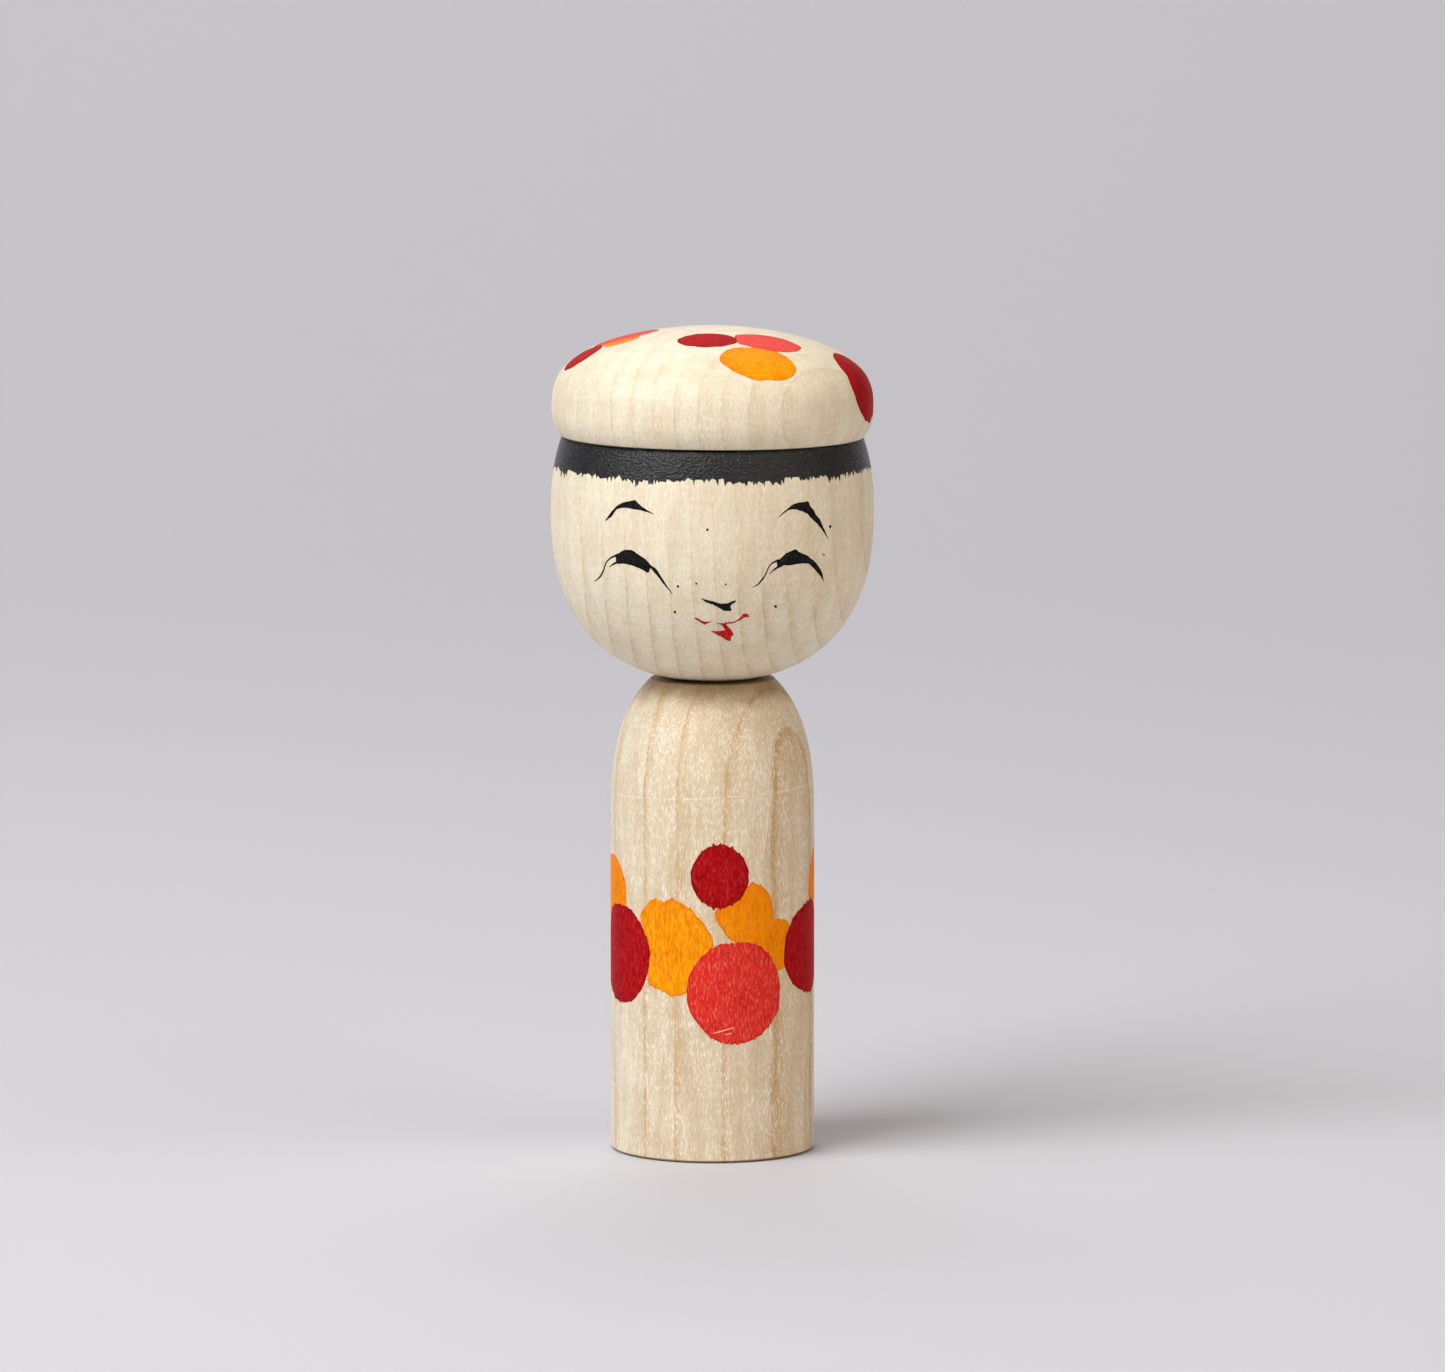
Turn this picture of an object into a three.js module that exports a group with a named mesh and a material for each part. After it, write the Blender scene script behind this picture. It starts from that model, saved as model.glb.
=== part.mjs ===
// A kokeshi doll in a beret: three pieces of turned wood, held together by two dowels.
// Millimetres, +Z up. The origin is the centre of the face that the doll stands on, and the
// painted face looks along -Y. The neck dowel is glued into the head and turns in the body's
// socket. The beret is glued to the head on a dowel of its own.
import * as THREE from "three";

// Overall sizes of the body and the head. The beret takes its size from the head.
const BODY_RADIUS = 13.1;
const BODY_HEIGHT = 60.9;
const HEAD_RADIUS = 20.7;

// The body's shoulder, from where the side starts to turn in, and the flat that it ends in.
const SHOULDER_HEIGHT = 18.4;
const BODY_TOP_RADIUS = 7.9;

// The edge of the body's flat foot.
const FOOT_CHAMFER = 0.35;

// The head, below and above its widest ring, and how far the crown has turned in at its top.
const HEAD_BOWL_HEIGHT = 21.3;
const HEAD_CROWN_HEIGHT = 9.3;
const HEAD_FOOT_RADIUS = 6;
const HEAD_CROWN_TURN_IN = 1.35;

// The beret, below and above its widest ring. Its rim starts just outside the head's top and
// swells to the widest ring.
const BERET_RIM_HEIGHT = 3.3;
const BERET_DOME_HEIGHT = 10.7;
const BERET_OVERHANG = 0.05;
const BERET_SWELL = 1.2;

// How far the beret leans on its dowel, in degrees: a little lower on the doll's left.
const BERET_LEAN = 0.4;

// The dowels, and the depths of the sockets that they stand in.
const NECK_DOWEL_RADIUS = 4;
const NECK_SOCKET_IN_BODY = 14;
const NECK_SOCKET_IN_HEAD = 14;
const BERET_DOWEL_RADIUS = 3;
const BERET_SOCKET_IN_HEAD = 7.5;
const BERET_SOCKET_IN_BERET = 6.5;
const DOWEL_CHAMFER = 0.6;
const SOCKET_CHAMFER = 0.4;

// Clearances. The neck dowel stands on the floor of the body's socket, and so holds the head
// a hairline clear of the body. Glued ends have room for the glue, at the side and at the end.
const NECK_GAP = 0.3;
const SEAM_GAP = 0.3;
const RUNNING_CLEARANCE = 0.05;
const GLUE_CLEARANCE = 0.12;
const SEAT_CLEARANCE = 0.05;
const GLUE_ROOM = 1;

// How round each stretch of an outline is: [exponent along the axis, exponent across it].
// [2, 2] is an ellipse, and larger numbers are squarer.
const SHOULDER_ROUNDNESS = [2.7, 2.2];
const BOWL_ROUNDNESS = [2.4, 2.42];
const CROWN_ROUNDNESS = [2.3, 2];
const RIM_ROUNDNESS = [2.05, 2];
const DOME_ROUNDNESS = [2.9, 1.8];

const SEGMENTS = 60;
const SHOULDER_STEPS = 16;
const BOWL_STEPS = 18;
const CROWN_STEPS = 7;
const RIM_STEPS = 7;
const DOME_STEPS = 16;

// The radii of the seam between the head and the beret, and of the beret at its widest.
const HEAD_TOP_RADIUS = HEAD_RADIUS - HEAD_CROWN_TURN_IN;
const BERET_FOOT_RADIUS = HEAD_TOP_RADIUS + BERET_OVERHANG;
const BERET_RADIUS = BERET_FOOT_RADIUS + BERET_SWELL;

// Where each piece stands.
const HEAD_FOOT_Z = BODY_HEIGHT + NECK_GAP;
const HEAD_TOP_Z = HEAD_FOOT_Z + HEAD_BOWL_HEIGHT + HEAD_CROWN_HEIGHT;
const BERET_FOOT_Z = HEAD_TOP_Z + SEAM_GAP;

/**
 * The radius of a rounded stretch, as [radius, height above its widest ring] pairs.
 * It is a superellipse that starts upright at `wide` and has narrowed to `narrow` after `rise`:
 * radius = wide * (1 - (height / reach)^p)^(1/q), where reach is the height at which it would
 * meet the axis. The steps are closer together where it turns in.
 */
function roundedStretch(wide, narrow, rise, [p, q], steps) {
  const share = Math.pow(1 - Math.pow(narrow / wide, q), 1 / p);
  const turn = Math.asin(share);
  const points = [];
  for (let i = 0; i <= steps; i++) {
    const t = i === steps ? share : Math.sin((turn * i) / steps);
    const radius = wide * Math.pow(Math.max(0, 1 - Math.pow(t, p)), 1 / q);
    points.push([i === steps ? narrow : radius, (rise * t) / share]);
  }
  return points;
}

/** A blind socket's outline, from its mouth at height `mouth` to the axis. */
function socketOutline(radius, mouth, depth, direction) {
  return [
    [radius + SOCKET_CHAMFER, mouth],
    [radius, mouth + direction * SOCKET_CHAMFER],
    [radius, mouth + direction * depth],
    [0, mouth + direction * depth],
  ];
}

/** Spins an outline of [radius, height] pairs, listed from the foot up, about the Z axis. */
function turned(outline) {
  const points = outline.map(([radius, height]) => new THREE.Vector2(radius, height));
  return new THREE.LatheGeometry(points, SEGMENTS).rotateX(Math.PI / 2);
}

function wood(color, roughness) {
  return new THREE.MeshStandardMaterial({ color, roughness, metalness: 0 });
}

function piece(name, geometry, material, z) {
  const mesh = new THREE.Mesh(geometry, material);
  mesh.name = name;
  mesh.position.z = z;
  return mesh;
}

/** The body: a straight side, a domed shoulder, and the neck dowel's socket in its top. */
function bodyOutline() {
  const side = BODY_HEIGHT - SHOULDER_HEIGHT;
  const shoulder = roundedStretch(
    BODY_RADIUS, BODY_TOP_RADIUS, SHOULDER_HEIGHT, SHOULDER_ROUNDNESS, SHOULDER_STEPS,
  );
  const socketRadius = NECK_DOWEL_RADIUS + RUNNING_CLEARANCE;
  return [
    [0, 0],
    [BODY_RADIUS - FOOT_CHAMFER, 0],
    [BODY_RADIUS, FOOT_CHAMFER],
    ...shoulder.map(([radius, height]) => [radius, side + height]),
    ...socketOutline(socketRadius, BODY_HEIGHT, NECK_SOCKET_IN_BODY, -1),
  ];
}

/** The head: a bowl under a crown, with a socket in its foot and another in its top. */
function headOutline() {
  const bowl = roundedStretch(
    HEAD_RADIUS, HEAD_FOOT_RADIUS, HEAD_BOWL_HEIGHT, BOWL_ROUNDNESS, BOWL_STEPS,
  );
  const crown = roundedStretch(
    HEAD_RADIUS, HEAD_TOP_RADIUS, HEAD_CROWN_HEIGHT, CROWN_ROUNDNESS, CROWN_STEPS,
  );
  const top = HEAD_BOWL_HEIGHT + HEAD_CROWN_HEIGHT;
  const neck = socketOutline(NECK_DOWEL_RADIUS + GLUE_CLEARANCE, 0, NECK_SOCKET_IN_HEAD, 1);
  const hat = socketOutline(BERET_DOWEL_RADIUS + GLUE_CLEARANCE, top, BERET_SOCKET_IN_HEAD, -1);
  return [
    ...neck.reverse(),
    ...bowl.reverse().map(([radius, height]) => [radius, HEAD_BOWL_HEIGHT - height]),
    ...crown.slice(1).map(([radius, height]) => [radius, HEAD_BOWL_HEIGHT + height]),
    ...hat,
  ];
}

/** The beret: a rim that tucks under, a flattened dome, and a socket in its underside. */
function beretOutline() {
  const rim = roundedStretch(
    BERET_RADIUS, BERET_FOOT_RADIUS, BERET_RIM_HEIGHT, RIM_ROUNDNESS, RIM_STEPS,
  );
  const dome = roundedStretch(BERET_RADIUS, 0, BERET_DOME_HEIGHT, DOME_ROUNDNESS, DOME_STEPS);
  const socket = socketOutline(BERET_DOWEL_RADIUS + GLUE_CLEARANCE, 0, BERET_SOCKET_IN_BERET, 1);
  return [
    ...socket.reverse(),
    ...rim.reverse().map(([radius, height]) => [radius, BERET_RIM_HEIGHT - height]),
    ...dome.slice(1).map(([radius, height]) => [radius, BERET_RIM_HEIGHT + height]),
  ];
}

/** A plain round dowel with chamfered ends, standing on z = 0. */
function dowel(radius, length) {
  return turned([
    [0, 0],
    [radius - DOWEL_CHAMFER, 0],
    [radius, DOWEL_CHAMFER],
    [radius, length - DOWEL_CHAMFER],
    [radius - DOWEL_CHAMFER, length],
    [0, length],
  ]);
}

const neckDowelFootZ = BODY_HEIGHT - NECK_SOCKET_IN_BODY + SEAT_CLEARANCE;
const neckDowelTopZ = HEAD_FOOT_Z + NECK_SOCKET_IN_HEAD - GLUE_ROOM;
const beretDowelFootZ = HEAD_TOP_Z - BERET_SOCKET_IN_HEAD + GLUE_ROOM;
const beretDowelTopZ = BERET_FOOT_Z + BERET_SOCKET_IN_BERET - GLUE_ROOM;

const bodyWood = wood(0xdcc8a4, 0.5);
const headWood = wood(0xe8dbbf, 0.5);
const dowelWood = wood(0xc8a878, 0.7);

const beret = piece("beret", turned(beretOutline()), headWood, BERET_FOOT_Z);
beret.rotation.y = THREE.MathUtils.degToRad(BERET_LEAN);

const neckDowel = dowel(NECK_DOWEL_RADIUS, neckDowelTopZ - neckDowelFootZ);
const beretDowel = dowel(BERET_DOWEL_RADIUS, beretDowelTopZ - beretDowelFootZ);

const doll = new THREE.Group();
doll.add(
  piece("doll_body", turned(bodyOutline()), bodyWood, 0),
  piece("doll_head", turned(headOutline()), headWood, HEAD_FOOT_Z),
  piece("neck_dowel", neckDowel, dowelWood, neckDowelFootZ),
  beret,
  piece("beret_dowel", beretDowel, dowelWood, beretDowelFootZ),
);

export default doll;
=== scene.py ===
import bpy
import numpy as np
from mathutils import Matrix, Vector


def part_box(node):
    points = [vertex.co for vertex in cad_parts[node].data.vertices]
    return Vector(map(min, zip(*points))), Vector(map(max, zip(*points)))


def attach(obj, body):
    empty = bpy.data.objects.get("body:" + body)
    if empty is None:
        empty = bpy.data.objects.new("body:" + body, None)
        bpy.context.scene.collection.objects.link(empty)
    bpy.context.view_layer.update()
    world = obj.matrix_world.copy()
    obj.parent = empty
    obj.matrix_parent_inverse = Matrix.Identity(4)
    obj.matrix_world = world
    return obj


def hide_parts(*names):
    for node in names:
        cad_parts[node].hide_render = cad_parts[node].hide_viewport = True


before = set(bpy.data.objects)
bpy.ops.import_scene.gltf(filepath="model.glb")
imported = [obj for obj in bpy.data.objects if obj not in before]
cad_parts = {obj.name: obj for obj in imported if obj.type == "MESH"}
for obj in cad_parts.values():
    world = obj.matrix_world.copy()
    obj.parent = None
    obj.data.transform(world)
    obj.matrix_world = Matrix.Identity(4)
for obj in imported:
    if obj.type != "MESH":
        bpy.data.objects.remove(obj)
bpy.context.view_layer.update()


# ---- The camera ------------------------------------------------------------------------------
# A long lens, 1.2 m in front of the doll and a little above it, looking slightly down.
CAMERA_PLACE = (0.0013, -1.2068, 0.2114)
CAMERA_PITCH_DOWN = 7.16
CAMERA_LENS_MM = 236.4
SENSOR_WIDTH_MM = 36.0

camera_data = bpy.data.cameras.new("camera")
camera_data.lens = CAMERA_LENS_MM
camera_data.sensor_fit = "HORIZONTAL"
camera_data.sensor_width = SENSOR_WIDTH_MM
camera_data.clip_start = 0.05
camera_data.clip_end = 20.0
camera = bpy.data.objects.new("camera", camera_data)
camera.location = CAMERA_PLACE
camera.rotation_euler = (np.radians(90.0 - CAMERA_PITCH_DOWN), 0.0, 0.0)
bpy.context.scene.collection.objects.link(camera)
bpy.context.scene.camera = camera
bpy.context.scene.view_settings.view_transform = "Standard"


# ---- The body ----------------------------------------------------------------------------------
# A plain cylinder of pale maple with a domed shoulder, turned on a lathe, sanded and waxed. Its
# top has a socket in which the neck dowel turns. Sizes are in millimetres.
MM = 0.001
BODY_COLUMNS = 256
BODY_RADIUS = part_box("doll_body")[1].x / MM
BODY_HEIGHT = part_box("doll_body")[1].z / MM
SHOULDER_HEIGHT = 18.4
BODY_TOP_RADIUS = 7.9
FOOT_CHAMFER = 0.35
NECK_SOCKET_RADIUS = 4.05
NECK_SOCKET_DEPTH = 14.0
SOCKET_CHAMFER = 0.4
NEAR_AXIS = 1.0
SHOULDER_ROUNDNESS = (2.7, 2.2)
PAINT_ROOM = 0.04


def rounded(wide, narrow, rise, roundness, steps):
    """Radius and height of a rounded stretch: a superellipse that starts upright at `wide` and
    has narrowed to `narrow` after `rise`. radius = wide * (1 - t^p)^(1/q), and the height grows
    in proportion to t, with the steps closer together where it turns in."""
    p, q = roundness
    share = (1.0 - (narrow / wide) ** q) ** (1.0 / p)
    t = np.sin(np.arcsin(share) * np.linspace(0.0, 1.0, steps + 1))
    t[-1] = share
    radius = wide * np.maximum(0.0, 1.0 - t**p) ** (1.0 / q)
    radius[-1] = narrow
    return np.stack([radius, rise * t / share], axis=1)


def straight(start, end, step):
    """Radius and height along a straight stretch, about `step` apart, and much closer at both
    ends so that its corners stay crisp."""
    start, end = np.array(start, float), np.array(end, float)
    length = np.linalg.norm(end - start)
    close = min(0.04 / length, 0.2)
    count = max(1, int(round(length / step)))
    shares = np.concatenate([[0.0], np.linspace(close, 1.0 - close, count + 1), [1.0]])
    return start + shares[:, None] * (end - start)


def joined(*stretches):
    """One outline of stretches laid end to end, with each shared point kept once."""
    outline = np.concatenate(stretches)
    apart = np.linalg.norm(np.diff(outline, axis=0), axis=1) > 1e-6
    return outline[np.concatenate([[True], apart])]


def bored(radius, mouth, depth):
    """A blind socket's outline, from its chamfered mouth to its floor and in to near the axis.
    The depth is negative for a socket bored downwards."""
    lip, floor = mouth + np.sign(depth) * SOCKET_CHAMFER, mouth + depth
    return joined(
        straight((radius + SOCKET_CHAMFER, mouth), (radius, lip), 0.2),
        straight((radius, lip), (radius, floor), 2.0),
        straight((radius, floor), (NEAR_AXIS, floor), 1.5))


def closed_mesh(name, rings, crisp=None, hoop=False, marks=None):
    """A closed mesh of a (rings, points, 3) grid in millimetres. Each ring of points closes on
    itself and is joined to the next by quads. The two ends are closed by fans to the middle of
    the end rings, or, for a hoop, the last ring is joined to the first. `crisp` marks the rows
    of quads that stay flat. The mesh is turned inside out if its volume comes out negative."""
    count, around = rings.shape[:2]
    rows = np.arange(count if hoop else count - 1)[:, None]
    here = np.arange(around)[None, :]
    beside = (here + 1) % around
    above = (rows + 1) % count
    quads = np.stack(
        [rows * around + here, rows * around + beside, above * around + beside,
         above * around + here], axis=2).reshape(-1, 4)
    points = rings.reshape(-1, 3)
    fans = np.zeros((0, 3), int)
    if not hoop:
        low, high = count * around, count * around + 1
        last = (count - 1) * around
        points = np.concatenate([points, rings[0].mean(0)[None], rings[-1].mean(0)[None]])
        fans = np.concatenate([
            np.stack([here[0] * 0 + low, beside[0], here[0]], axis=1),
            np.stack([here[0] * 0 + high, last + here[0], last + beside[0]], axis=1)])
    corners = np.concatenate([quads[:, [0, 1, 2]], quads[:, [0, 2, 3]], fans])
    a, b, c = (points[corners[:, i]] for i in range(3))
    if np.einsum("ij,ij->", a, np.cross(b, c)) < 0.0:
        quads, fans = quads[:, ::-1], fans[:, ::-1]

    mesh = bpy.data.meshes.new(name)
    mesh.vertices.add(len(points))
    mesh.vertices.foreach_set("co", (points * MM).astype(np.float32).ravel())
    mesh.loops.add(quads.size + fans.size)
    mesh.loops.foreach_set(
        "vertex_index", np.concatenate([quads.ravel(), fans.ravel()]).astype(np.int32))
    starts = np.concatenate(
        [np.arange(len(quads)) * 4, quads.size + np.arange(len(fans)) * 3])
    mesh.polygons.add(len(starts))
    mesh.polygons.foreach_set("loop_start", starts.astype(np.int32))
    smooth = np.ones(len(starts), bool)
    if crisp is not None:
        smooth[: len(quads)] = ~np.broadcast_to(crisp, (len(rows), around)).ravel()
    mesh.polygons.foreach_set("use_smooth", smooth)
    mesh.update(calc_edges=True)
    mesh.validate()
    for label, values in (marks or {}).items():
        spread = mesh.attributes.new(label, "FLOAT", "POINT")
        extra = [] if hoop else [values[0].mean(), values[-1].mean()]
        spread.data.foreach_set(
            "value", np.concatenate([values.ravel(), extra]).astype(np.float32))
    piece = bpy.data.objects.new(name, mesh)
    bpy.context.scene.collection.objects.link(piece)
    return piece


def turned(outline, columns):
    """Rings of points about the Z axis: the outline's radius and height at every azimuth, from
    the front, -Y, round by +X."""
    azimuth = np.linspace(0.0, 2.0 * np.pi, columns, endpoint=False)
    radius, height = outline[:, :1], outline[:, 1:]
    return np.stack(
        [radius * np.sin(azimuth), -radius * np.cos(azimuth), height + 0.0 * azimuth], axis=2)


def skin_of(outline):
    """What paint needs to follow an outline: the arc length, radius, height and outward normal
    at each of its points. The normal is the direction along the outline turned by a right
    angle."""
    along = np.gradient(outline, axis=0)
    along /= np.linalg.norm(along, axis=1)[:, None]
    steps = np.linalg.norm(np.diff(outline, axis=0), axis=1)
    arc = np.concatenate([[0.0], np.cumsum(steps)])
    return {"arc": arc, "radius": outline[:, 0], "height": outline[:, 1],
            "out": along[:, 1], "up": -along[:, 0]}


def on_skin(skin, key, where, azimuth, lift):
    """Points that stand `lift` off a turned surface, at an azimuth and at a height or an arc
    length: the skin's place and normal there, turned about the Z axis."""
    radius, height, out, up = (
        np.interp(where, skin[key], skin[part]) for part in ("radius", "height", "out", "up"))
    reach = radius + lift * out
    return np.stack(
        [reach * np.sin(azimuth), -reach * np.cos(azimuth), height + lift * up], axis=-1)


def node(tree, kind, settings=None, sockets=None):
    """One shader node, with its settings, and with a value or a link for each socket."""
    made = tree.nodes.new(kind)
    for key, value in (settings or {}).items():
        setattr(made, key, value)
    for key, value in (sockets or {}).items():
        if isinstance(value, bpy.types.NodeSocket):
            tree.links.new(value, made.inputs[key])
        else:
            made.inputs[key].default_value = value
    return made


def maths(tree, operation, first, second=0.0, third=0.0):
    """One Math node's result."""
    return node(tree, "ShaderNodeMath", {"operation": operation},
                {0: first, 1: second, 2: third}).outputs[0]


def fitted(tree, value, low, high, new_low=0.0, new_high=1.0):
    """A value taken from one range to another with a smooth start and end."""
    return node(tree, "ShaderNodeMapRange", {"interpolation_type": "SMOOTHSTEP"},
                {0: value, 1: low, 2: high, 3: new_low, 4: new_high}).outputs[0]


def speckle(tree, place, scale, detail=2.0, shift=0.0):
    """Noise of its own scale, in features per millimetre, across x and y and along z."""
    shrunk = node(tree, "ShaderNodeMapping", None,
                  {0: place, "Location": (shift, -shift, 2.0 * shift), "Scale": scale}).outputs[0]
    return node(tree, "ShaderNodeTexNoise", None,
                {"Vector": shrunk, "Scale": 1.0, "Detail": detail}).outputs["Fac"]


def mixed(tree, share, first, second, blend="MIX"):
    """One colour mixed with another."""
    made = node(tree, "ShaderNodeMix", {"data_type": "RGBA", "blend_type": blend})
    for socket, value in ((0, share), (6, first), (7, second)):
        if isinstance(value, bpy.types.NodeSocket):
            tree.links.new(value, made.inputs[socket])
        else:
            made.inputs[socket].default_value = value
    return made.outputs[2]


def group(name, inputs, outputs):
    """An empty shader node group with named sockets: (name, kind, value) in, (name, kind) out."""
    tree = bpy.data.node_groups.new(name, "ShaderNodeTree")
    for label, kind, value in inputs:
        socket = tree.interface.new_socket(
            name=label, in_out="INPUT", socket_type="NodeSocket" + kind)
        if value is not None:
            socket.default_value = value
    for label, kind in outputs:
        tree.interface.new_socket(name=label, in_out="OUTPUT", socket_type="NodeSocket" + kind)
    return tree, tree.nodes.new("NodeGroupInput").outputs, tree.nodes.new("NodeGroupOutput")


# Pale flecks of this colour are painted glints of the waxed wood.
PAINTED_GLINT = (0.98, 0.93, 0.84, 1.0)
BLUSH = (0.97, 0.91, 0.90, 1.0)


def maple_group():
    """The look of turned maple. Place is in millimetres, with the grain along z. Ring number
    grows by one from each growth ring to the next: each ring starts with a thin tan line, which
    fades out over the part of the ring given by Fade. Fibres, pale flecks painted as glints of the
    wax, and tan flecks run along the grain, and a faint shimmer and the tool's marks run across
    it.
    Warmer patches, a pink blush and a few stains lie over all of it."""
    tree, given, out = group(
        "turned_maple",
        [("Place", "Vector", None), ("Ring number", "Float", 0.0), ("Line", "Float", 0.5),
         ("Fade", "Float", 0.25), ("Onset", "Float", 0.93), ("Flecks", "Float", 1.0),
         ("Painted shade tan", "Float", 0.0), ("Pale", "Color", None),
         ("Tan", "Color", None), ("Line colour", "Color", None)],
        [("Colour", "Color"), ("Roughness", "Float"), ("Height", "Float")])
    place = given["Place"]
    fibre = speckle(tree, place, (6.5, 6.5, 0.45), 3.0, 3.1)
    fleck_noise = speckle(tree, place, (5.0, 5.0, 1.5), 3.0, 11.7)
    glint_mask = fitted(tree, fleck_noise, 0.50, 0.64)
    tan_noise = speckle(tree, place, (4.6, 4.6, 0.8), 3.0, 23.3)
    tan_fleck = fitted(tree, tan_noise, 0.48, 0.66)
    patches = fitted(tree, speckle(tree, place, (0.55, 0.55, 0.11), 3.0, 57.0), 0.38, 0.64)
    blush = fitted(tree, speckle(tree, place, (0.4, 0.4, 0.1), 2.0, 83.0), 0.40, 0.66)
    stain = fitted(tree, speckle(tree, place, (1.3, 1.3, 0.8), 2.0, 71.0), 0.70, 0.78)
    shimmer = speckle(tree, place, (0.12, 0.12, 1.3), 3.0, 5.9)
    clouds = speckle(tree, place, (0.16, 0.16, 0.035), 2.0, 41.0)
    marks = speckle(tree, place, (0.05, 0.05, 5.5), 1.0, 8.8)

    share = maths(tree, "FRACT", given["Ring number"])
    fade = maths(tree, "SUBTRACT", 1.0, maths(tree, "DIVIDE", share, given["Fade"]))
    glow = maths(tree, "POWER", maths(tree, "MAXIMUM", fade, 0.0), 1.6)
    onset = fitted(tree, share, given["Onset"], 1.0)
    line = maths(tree, "MAXIMUM", glow, onset)
    thin = maths(tree, "MAXIMUM", fitted(tree, share, 0.06, 0.0), onset)
    broken = fitted(tree, speckle(tree, place, (1.1, 1.1, 0.16), 3.0, 17.0), 0.3, 0.62, 0.35, 1.0)
    line = maths(tree, "MULTIPLY", maths(tree, "MULTIPLY", line, broken), given["Line"])
    thin = maths(tree, "MULTIPLY", maths(tree, "MULTIPLY", thin, broken), given["Line"])

    warm = maths(tree, "MULTIPLY_ADD", fitted(tree, clouds, 0.3, 0.7), 0.25, given["Painted shade tan"])
    warm = maths(tree, "MULTIPLY_ADD", patches, 0.3, warm)
    warm = maths(tree, "MULTIPLY_ADD", maths(tree, "SUBTRACT", fibre, 0.5), 1.0, warm)
    colour = mixed(tree, warm, given["Pale"], given["Tan"])
    colour = mixed(tree, maths(tree, "MULTIPLY", blush, 0.35), colour, BLUSH, "MULTIPLY")
    colour = mixed(tree, maths(tree, "MULTIPLY", stain, 0.45), colour, given["Line colour"])
    colour = mixed(tree, line, colour, given["Line colour"])
    thin = maths(tree, "MULTIPLY", thin, 0.35)
    colour = mixed(tree, thin, colour, given["Line colour"], "MULTIPLY")
    speck = maths(tree, "MULTIPLY", tan_fleck, given["Flecks"])
    near_line = maths(tree, "ADD", 0.26, maths(tree, "MULTIPLY", line, 0.9))
    colour = mixed(tree, maths(tree, "MULTIPLY", speck, near_line), colour, given["Line colour"])
    # Pale flecks are painted glints of the wax.
    clusters = maths(tree, "MULTIPLY_ADD", patches, -0.3, 0.55)
    painted_glints = maths(tree, "MULTIPLY", maths(tree, "MULTIPLY", glint_mask, given["Flecks"]), clusters)
    colour = mixed(tree, painted_glints, colour, PAINTED_GLINT)
    tone = fitted(tree, shimmer, 0.25, 0.75, 0.97, 1.02)
    shade = node(tree, "ShaderNodeCombineColor", None, {0: tone, 1: tone, 2: tone}).outputs[0]
    colour = mixed(tree, 1.0, colour, shade, "MULTIPLY")

    rough = maths(tree, "ADD", 0.36, maths(tree, "MULTIPLY", fibre, 0.22))
    height = maths(tree, "MULTIPLY", fibre, 0.5)
    height = maths(tree, "ADD", height, maths(tree, "MULTIPLY", fleck_noise, 0.7))
    height = maths(tree, "ADD", height, maths(tree, "MULTIPLY", marks, 0.25))
    for label, value in (("Colour", colour), ("Roughness", rough), ("Height", height)):
        tree.links.new(value, out.inputs[label])
    return tree


MAPLE = maple_group()


def grain_place(tree, turn):
    """Object coordinates in millimetres, turned so that x runs across the growth rings."""
    where = node(tree, "ShaderNodeTexCoord").outputs["Object"]
    return node(tree, "ShaderNodeMapping", None,
                {0: where, "Rotation": (0.0, 0.0, np.radians(turn)),
                 "Scale": (1.0 / MM, 1.0 / MM, 1.0 / MM)}).outputs[0]


def ring_depth(tree, place, waver, lean):
    """How far a point lies across the rings, in millimetres: x, with a slow waver and a lean
    along the grain."""
    x, y, z = node(tree, "ShaderNodeSeparateXYZ", None, {0: place}).outputs
    slow = maths(tree, "SUBTRACT", speckle(tree, place, (0.11, 0.11, 0.03), 2.0, 2.2), 0.5)
    fine = maths(tree, "SUBTRACT", speckle(tree, place, (0.7, 0.7, 0.09), 1.0, 7.7), 0.5)
    depth = maths(tree, "MULTIPLY_ADD", slow, waver, x)
    depth = maths(tree, "MULTIPLY_ADD", fine, 0.12 * waver, depth)
    return maths(tree, "MULTIPLY_ADD", z, lean, depth)


def waxed(material, tree, colour, rough, height, relief, specular=0.45):
    """The surface itself: a satin dielectric, with its height as a bump of so many metres."""
    bump = node(tree, "ShaderNodeBump", None,
                {"Strength": 1.0, "Distance": relief, "Height": height})
    skin = node(tree, "ShaderNodeBsdfPrincipled", None,
                {"Base Color": colour, "Roughness": rough, "Normal": bump.outputs[0]})
    skin.inputs["Specular IOR Level"].default_value = specular
    out = node(tree, "ShaderNodeOutputMaterial", None, {0: skin.outputs[0]})
    out.is_active_output = True
    return material


def new_material(name, shown):
    """An empty node material, with the colour that it has in a plain view."""
    material = bpy.data.materials.new(name)
    material.use_nodes = True
    material.node_tree.nodes.clear()
    material.diffuse_color = shown
    return material, material.node_tree


BODY_RING_TURN = 34.0
BODY_RING_DEPTHS = (-20.0, -13.6, -8.4, -1.8, 2.9, 8.5, 12.35, 16.0)
BODY_PALE = (0.785, 0.70, 0.53, 1.0)
BODY_TAN = (0.58, 0.445, 0.265, 1.0)
BODY_LINE = (0.56, 0.345, 0.135, 1.0)
# Painted shade under the head, next to the neck.
PAINTED_NECK_SHADE = (0.42, 0.30, 0.19, 1.0)
SCRATCHED = (0.95, 0.89, 0.78, 1.0)
# Painted contact shadow along the foot's edge.
PAINTED_FOOT_SHADOW = (0.30, 0.22, 0.15, 1.0)
SCRATCH_Z = 47.2
SCRATCH_CLIMB = 0.05
WOOD_RELIEF = 1.4e-5


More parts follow.
